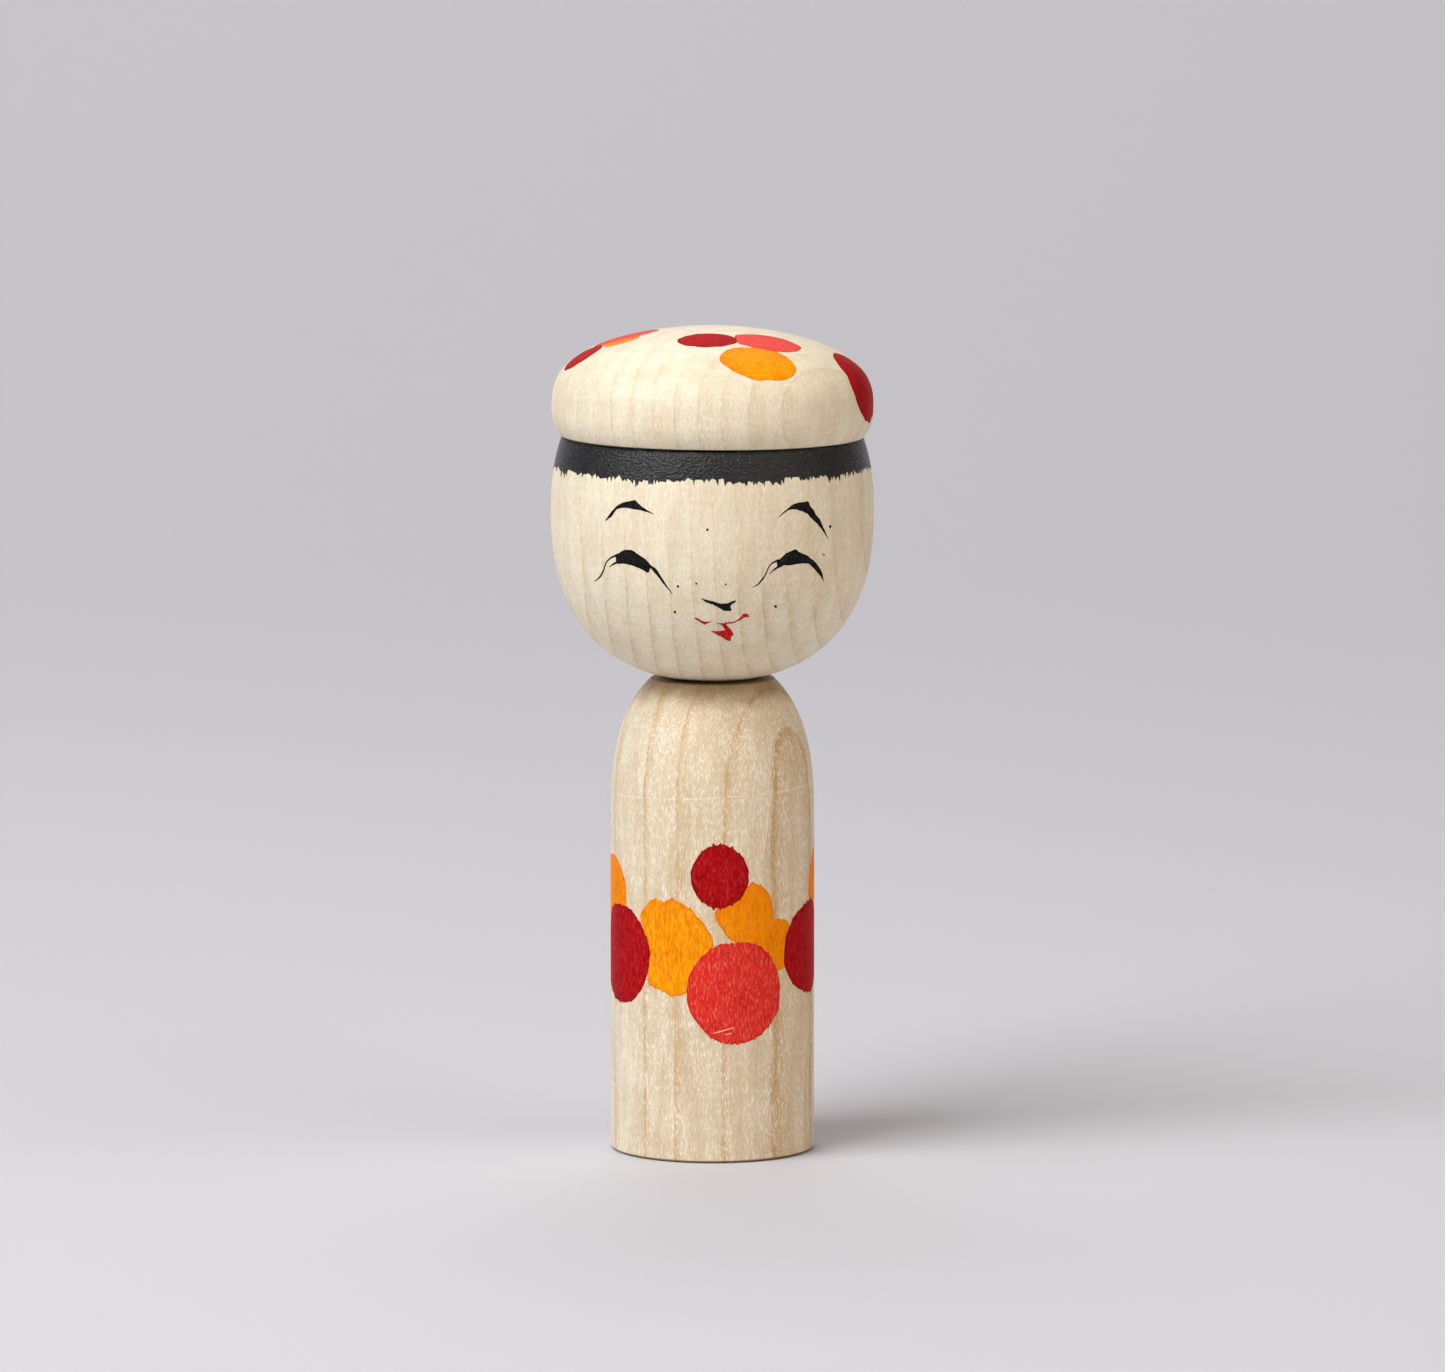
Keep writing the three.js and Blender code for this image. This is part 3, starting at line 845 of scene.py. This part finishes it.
def stroke(upper, lower, lift, seed, rough=0.032):
    """Rings of points round a brush stroke: at each step along it, a loop that runs across its
    upper side from one edge to the other and back inside the wood. The edges have a fine
    unevenness where the ink has run along the fibres."""
    draw = np.random.default_rng(seed)
    top, bottom = smooth_line(upper, STROKE_ROWS), smooth_line(lower, STROKE_ROWS)
    soften = np.array([0.25, 0.5, 0.25])
    for edge in (top, bottom):
        edge[1:-1, 1] += np.convolve(draw.normal(0.0, rough, STROKE_ROWS), soften, "same")[1:-1]
    shares = np.array(STROKE_SHARES)
    ring = np.concatenate([shares, shares[::-1]])[None, :, None]
    flat = top[:, None, :] + ring * (bottom - top)[:, None, :]
    lifts = np.concatenate([0.0 * shares + lift, 0.0 * shares + lift - FILM])
    width = np.linalg.norm(bottom - top, axis=1)[:, None]
    rim = width * np.minimum(ring, 1.0 - ring)[..., 0]
    return on_face(flat[..., 0], flat[..., 1], lifts + 0.0 * flat[..., 0]), rim


def hair_line(line, widths):
    """The two edges of a thin stroke from its middle line and its width along it: each point
    moved to either side by half the width, square to the line."""
    line = np.array(line, float)
    along = np.gradient(line, axis=0)
    along /= np.linalg.norm(along, axis=1)[:, None]
    aside = np.stack([-along[:, 1], along[:, 0]], axis=1) * 0.5 * np.array(widths)[:, None]
    return line + aside, line - aside


def painted(name, strokes, material, seed):
    """One piece of the face, of one or more strokes that join into one mesh."""
    loops = 2 * len(STROKE_SHARES)
    crisp = np.zeros((1, loops), bool)
    crisp[0, [loops // 2 - 1, loops - 1]] = True
    parts = []
    for number, (upper, lower) in enumerate(strokes):
        points, rim = stroke(upper, lower, INK_LIFT + 0.003 * number, seed + number)
        parts.append(closed_mesh(f"{name}_{number}", points, crisp, marks={"rim_distance": rim}))
    first = parts[0]
    with bpy.context.temp_override(active_object=first, selected_editable_objects=parts):
        if len(parts) > 1:
            bpy.ops.object.join()
    first.name = name
    first.data.name = name
    first.data.materials.append(material)
    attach(first, "head")
    return first


LEFT_BROW = (
    ((-13.5, 82.8), (-13.0, 83.6), (-12.2, 84.6), (-11.4, 85.2), (-10.4, 85.5), (-9.7, 85.65),
     (-9.2, 85.2), (-8.65, 84.8), (-8.0, 84.4), (-7.3, 84.05)),
    ((-13.5, 82.75), (-12.7, 83.4), (-11.95, 84.4), (-11.3, 84.6), (-10.4, 84.6), (-9.75, 84.5),
     (-9.1, 84.45), (-8.4, 84.3), (-7.7, 84.1), (-7.3, 84.0)))
RIGHT_BROW = (
    ((8.3, 83.55), (8.85, 84.1), (9.6, 84.7), (10.3, 85.15), (11.15, 85.3), (11.6, 85.3),
     (12.0, 85.4), (12.4, 84.7), (12.8, 84.2), (13.1, 83.6), (13.6, 82.95), (13.9, 82.2),
     (14.3, 81.3), (14.7, 80.25)),
    ((8.3, 83.5), (8.85, 83.9), (9.6, 84.4), (10.1, 84.5), (10.7, 84.4), (11.3, 84.15),
     (12.0, 83.8), (12.4, 83.3), (13.0, 82.7), (13.65, 81.9), (14.1, 81.25), (14.7, 80.2)))
LEFT_LID = (
    ((-12.2, 78.55), (-11.8, 78.8), (-11.1, 79.25), (-10.2, 79.3), (-9.3, 78.8), (-8.25, 78.1),
     (-7.7, 77.5), (-7.0, 77.0), (-6.5, 76.2), (-5.8, 75.1), (-5.0, 73.95)),
    ((-12.1, 77.5), (-11.8, 77.45), (-11.1, 77.5), (-10.0, 77.3), (-9.1, 77.0), (-8.0, 76.6),
     (-7.8, 77.1), (-7.4, 76.7), (-6.6, 75.8), (-6.1, 75.1), (-5.0, 73.9)))
LEFT_TAIL = hair_line(
    ((-14.9, 74.8), (-14.2, 75.5), (-13.7, 76.5), (-13.3, 77.6), (-12.65, 78.2), (-11.8, 78.65)),
    (0.06, 0.2, 0.15, 0.15, 0.22, 0.3))
LEFT_LASH = hair_line(
    ((-13.0, 76.9), (-12.6, 77.25), (-12.2, 77.5), (-11.7, 77.7)), (0.05, 0.16, 0.25, 0.4))
RIGHT_LID = (
    ((8.15, 78.1), (8.7, 78.4), (9.2, 78.9), (9.9, 79.2), (10.5, 79.4), (11.0, 79.0),
     (11.8, 78.6), (12.4, 78.1), (12.95, 77.6), (13.4, 77.0), (13.8, 76.3), (14.0, 75.6),
     (14.1, 74.95)),
    ((8.2, 77.2), (8.5, 77.3), (9.1, 77.4), (9.9, 77.4), (10.8, 77.5), (11.6, 77.5),
     (12.15, 77.4), (12.6, 77.0), (13.1, 76.4), (13.7, 75.6), (14.1, 74.9)))
RIGHT_TAIL = hair_line(
    ((5.1, 74.7), (5.6, 75.0), (6.2, 75.6), (6.6, 76.2), (6.9, 76.8), (7.2, 77.4), (7.6, 77.8),
     (8.4, 78.1)), (0.05, 0.13, 0.2, 0.16, 0.15, 0.14, 0.18, 0.3))
RIGHT_LASH = hair_line(
    ((7.2, 76.4), (7.7, 76.85), (8.2, 77.2), (8.8, 77.5)), (0.05, 0.14, 0.25, 0.4))
NOSE = (
    ((-1.35, 73.42), (-0.95, 73.25), (-0.5, 73.15), (0.1, 73.0), (0.55, 72.85), (1.05, 72.7),
     (1.65, 72.7), (2.1, 72.8), (2.55, 73.0), (2.95, 73.1)),
    ((-1.35, 73.35), (-1.1, 73.1), (-0.6, 72.8), (0.0, 72.6), (0.55, 72.3), (1.05, 72.0),
     (1.5, 71.75), (1.8, 71.7), (2.45, 71.8), (2.3, 72.2), (2.4, 72.5), (2.7, 72.7),
     (3.0, 72.9)))
MOUTH = (
    (((-2.3, 70.72), (-2.15, 70.8), (-1.8, 70.7), (-1.3, 70.4), (-0.9, 70.3), (-0.2, 70.3),
      (-0.05, 70.3)),
     ((-2.3, 70.68), (-2.1, 70.6), (-1.6, 70.3), (-1.25, 70.05), (-0.9, 69.9), (-0.6, 70.05),
      (-0.3, 70.2), (-0.05, 70.25))),
    (((0.6, 70.12), (1.15, 70.08), (1.65, 70.12), (2.0, 70.2), (2.5, 70.22), (2.85, 70.32),
      (3.2, 70.5), (3.45, 70.7), (3.7, 71.0), (3.9, 71.3), (4.5, 71.2), (4.7, 70.9)),
     ((0.6, 70.05), (0.85, 69.95), (1.3, 69.85), (1.75, 69.95), (2.1, 70.0), (2.7, 70.08),
      (3.0, 70.22), (3.45, 70.4), (3.9, 70.7), (4.3, 70.85), (4.7, 70.8))),
    (((1.15, 69.95), (1.35, 69.6), (1.6, 69.25), (1.7, 68.9)),
     ((1.75, 69.98), (1.9, 69.7), (2.2, 69.35), (2.35, 68.95))),
    (((-0.1, 69.0), (0.45, 69.0), (1.0, 69.0), (1.5, 69.1), (2.0, 69.3), (2.3, 69.3),
      (2.5, 68.9), (2.7, 68.55)),
     ((-0.1, 68.93), (0.3, 68.7), (0.8, 68.4), (1.2, 68.2), (1.5, 67.95), (1.95, 67.7),
      (2.3, 67.65), (2.4, 68.2), (2.7, 68.5))),
)
for number, (name, strokes, material) in enumerate((
        ("left_brow", (LEFT_BROW,), face_ink), ("right_brow", (RIGHT_BROW,), face_ink),
        ("left_eye", (LEFT_LID, LEFT_TAIL, LEFT_LASH), face_ink),
        ("right_eye", (RIGHT_LID, RIGHT_TAIL, RIGHT_LASH), face_ink),
        ("nose", (NOSE,), face_ink), ("mouth", MOUTH, lip_red))):
    painted(name, strokes, material, 200 + 10 * number)


# A few tiny specks of ink have splashed on the face.
SPECKS = ((-0.6, 82.2, 0.14), (-4.3, 74.9, 0.16), (-2.0, 75.3, 0.12), (-4.7, 71.5, 0.14),
          (8.0, 72.1, 0.17), (14.9, 81.9, 0.15), (1.7, 75.2, 0.11), (14.1, 78.4, 0.12))
for number, (across, up, size) in enumerate(SPECKS, start=1):
    speck = dab(f"ink_speck_{number}", on_face, (across, up), oval(size, size), INK_LIFT,
                400 + number, 0.02, 0.05)
    speck.data.materials.append(face_ink)
    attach(speck, "head")


# ---- The beret's dowel -------------------------------------------------------------------------
# A shorter peg of the same hardwood, glued into the head's top and the beret's underside.
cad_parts["beret_dowel"].material_slots[0].material = DOWEL_WOOD


# ---- The beret ---------------------------------------------------------------------------------
# A flattened cap of the same pale maple, turned with a rim that tucks under, and glued on with a
# small lean to the doll's left.
BERET_COLUMNS = 320
BERET_FOOT_RADIUS = HEAD_TOP_RADIUS + 0.05
BERET_RADIUS = BERET_FOOT_RADIUS + 1.2
BERET_FOOT_Z = HEAD_TOP_Z + 0.3
BERET_RIM_HEIGHT = 3.3
BERET_DOME_HEIGHT = 10.7
BERET_SOCKET_DEPTH = 6.5
BERET_LEAN = 0.4
BERET_HEART = (45.0, -35.0)
RIM_ROUNDNESS = (2.05, 2.0)
DOME_ROUNDNESS = (2.9, 1.8)


def leaned(points):
    """Points turned about the Y axis by the beret's lean, round the middle of its foot."""
    sine, cosine = np.sin(np.radians(BERET_LEAN)), np.cos(np.radians(BERET_LEAN))
    x, y, z = points[..., 0], points[..., 1], points[..., 2] - BERET_FOOT_Z
    return np.stack([x * cosine + z * sine, y, BERET_FOOT_Z + z * cosine - x * sine], axis=-1)


beret_widest_z = BERET_FOOT_Z + BERET_RIM_HEIGHT
beret_rim = rounded(BERET_RADIUS - PAINT_ROOM, BERET_FOOT_RADIUS, BERET_RIM_HEIGHT,
                    RIM_ROUNDNESS, 22)
beret_dome = rounded(BERET_RADIUS - PAINT_ROOM, 0.0, BERET_DOME_HEIGHT - PAINT_ROOM,
                     DOME_ROUNDNESS, 150)
beret_outside = joined(
    (beret_rim * (1.0, -1.0) + (0.0, beret_widest_z))[::-1],
    beret_dome + (0.0, beret_widest_z))
beret_outline = joined(
    bored(BERET_PEG_SOCKET_RADIUS, BERET_FOOT_Z, BERET_SOCKET_DEPTH)[::-1],
    straight((BERET_PEG_SOCKET_RADIUS + SOCKET_CHAMFER, BERET_FOOT_Z),
             (BERET_FOOT_RADIUS, BERET_FOOT_Z), 2.0),
    beret_outside[:-1])

beret = closed_mesh("turned_beret", leaned(turned(beret_outline, BERET_COLUMNS)))
beret.data.materials.append(close_wood(
    "beret_maple", HEAD_RING_TURN - 2.0, 0.4, 0.02, 0.28, 0.26, 94.0, 104.0, BERET_HEART))
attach(beret, "head")
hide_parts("beret")


# ---- The dots on the beret ---------------------------------------------------------------------
# The same paints in small groups over the top of the beret. Each dab is placed on the dome laid
# flat: its middle is so far to the right of the top, and so far back from it, along the surface.
# The top is end grain, so these dabs have almost no hairs.
beret_skin = skin_of(beret_outside[::-1])
beret_skin["out"] = -beret_skin["out"]
beret_skin["up"] = -beret_skin["up"]


def on_beret(across, back, lift):
    """A point on the beret, by where it lies when the dome is laid flat about its top: its
    distance from the top is the arc length, and its direction is the azimuth."""
    points = on_skin(beret_skin, "arc", np.hypot(across, back), np.arctan2(across, -back), lift)
    return leaned(points)


RIGHT_RED_LOBES = ((15.7, -4.6), (16.4, -7.6), (18.1, -9.2), (19.6, -10.3), (21.3, -10.8),
                   (24.2, -9.4), (26.2, -5.9), (25.6, -2.4), (22.6, -0.6), (19.4, -0.9),
                   (16.8, -1.8))
BERET_DABS = (
    ("amber", (5.9, -15.1), oval(5.0, 3.85, 5.0)),
    ("coral", (6.9, -8.1), oval(4.4, 3.4, 4.0)),
    ("red", (-0.7, -9.1), oval(3.8, 3.0)),
    ("orange", (-11.8, -3.1), oval(2.4, 2.2)),
    ("coral", (-11.2, 0.5), oval(4.3, 3.4)),
    ("red", (-17.2, -2.9), oval(2.9, 3.0)),
    ("red", (20.8, -5.4), lobed((20.8, -5.4), RIGHT_RED_LOBES)),
    ("orange", (18.4, 9.8), oval(4.2, 4.6)),
    ("coral", (3.2, 9.6), oval(4.3, 4.1)),
    ("red", (-3.6, 13.2), oval(3.7, 3.9)),
    ("amber", (6.6, 16.2), oval(4.6, 4.9)),
    ("scarlet", (-17.6, 10.8), oval(4.4, 4.1)),
    ("amber", (-11.6, 15.6), oval(3.6, 3.9)),
)
for number, (pot, middle, reach) in enumerate(BERET_DABS, start=1):
    dot = dab(f"beret_dot_{number:02d}_{pot}", on_beret, middle, reach,
              LIFTS[pot] + 0.0004 * number, 300 + number, 0.03, 0.02)
    dot.data.materials.append(PAINTS[pot])
    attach(dot, "head")


# ---- The floor and the light -------------------------------------------------------------------
# A sheet of pale paper that runs back and curves up. Two soft lights stand at the upper left,
# two weaker and warmer ones at the right, and one lights the paper behind the doll.
PAPER = (0.560, 0.556, 0.592, 1.0)
FLAT_UNTIL = 600.0
SWEEP_RADIUS = 1500.0
SWEEP_FRONT = -2200.0
SWEEP_RISE = 1500.0
SWEEP_HALF_WIDTH = 3000.0


def paper_sweep():
    """A sheet that is flat to FLAT_UNTIL and then follows a quarter circle up."""
    front = np.array([[SWEEP_FRONT, 0.0], [FLAT_UNTIL, 0.0]])
    turn = np.linspace(0.0, 0.5 * np.pi, 40)[1:]
    curve = np.stack([FLAT_UNTIL + SWEEP_RADIUS * np.sin(turn),
                      SWEEP_RADIUS * (1.0 - np.cos(turn))], axis=1)
    line = np.concatenate([front, curve, curve[-1:] + (0.0, SWEEP_RISE)])
    sides = np.array([-SWEEP_HALF_WIDTH, SWEEP_HALF_WIDTH])
    points = np.stack([0.0 * line[:, :1] + sides, line[:, :1] + 0.0 * sides,
                       line[:, 1:] + 0.0 * sides], axis=2).reshape(-1, 3)
    low = np.arange(len(line) - 1)[:, None] * 2
    faces = low + np.array([0, 1, 3, 2])
    mesh = bpy.data.meshes.new("paper_sweep")
    mesh.from_pydata((points * MM).tolist(), [], faces.tolist())
    mesh.polygons.foreach_set("use_smooth", np.ones(len(faces), bool))
    sheet = bpy.data.objects.new("paper_sweep", mesh)
    bpy.context.scene.collection.objects.link(sheet)
    return sheet


paper_material, paper_tree = new_material("studio_paper", PAPER)
paper_place = grain_place(paper_tree, 0.0)
paper_tooth = speckle(paper_tree, paper_place, (0.8, 0.8, 0.8), 3.0)
waxed(paper_material, paper_tree, PAPER, 0.85, paper_tooth, 2e-5, 0.2)
floor = paper_sweep()
floor.data.materials.append(paper_material)


def softbox(name, place, aim, size, power, tint):
    """A square soft light, turned to face a point."""
    data = bpy.data.lights.new(name, "AREA")
    data.shape = "SQUARE"
    data.size = size
    data.energy = power
    data.color = tint
    lamp = bpy.data.objects.new(name, data)
    lamp.location = place
    look = Vector(aim) - Vector(place)
    lamp.rotation_euler = look.to_track_quat("-Z", "Y").to_euler()
    bpy.context.scene.collection.objects.link(lamp)
    return lamp


WHITE = (1.0, 1.0, 1.0)
WARM = (1.0, 0.86, 0.70)
DOLL_MIDDLE = (0.0, 0.0, 0.05)
ROOM_STRENGTH = 0.04
softbox("key_light", (-0.81, -0.65, 0.83), DOLL_MIDDLE, 0.9, 14.2, WHITE)
softbox("high_light", (-0.42, -0.38, 1.25), DOLL_MIDDLE, 0.9, 8.2, WHITE)
softbox("side_bounce", (1.05, -0.45, 1.05), DOLL_MIDDLE, 1.0, 5.8, WARM)
softbox("low_bounce", (0.9, -1.1, 0.35), DOLL_MIDDLE, 0.6, 4.2, WARM)
softbox("sweep_light", (-0.2, 1.5, 1.75), (-0.2, 2.0, 0.2), 1.4, 19.5, WHITE)

room = bpy.data.worlds.new("room")
room.use_nodes = True
room_light = room.node_tree.nodes["Background"].inputs
room_light["Color"].default_value = (*WHITE, 1.0)
room_light["Strength"].default_value = ROOM_STRENGTH
bpy.context.scene.world = room
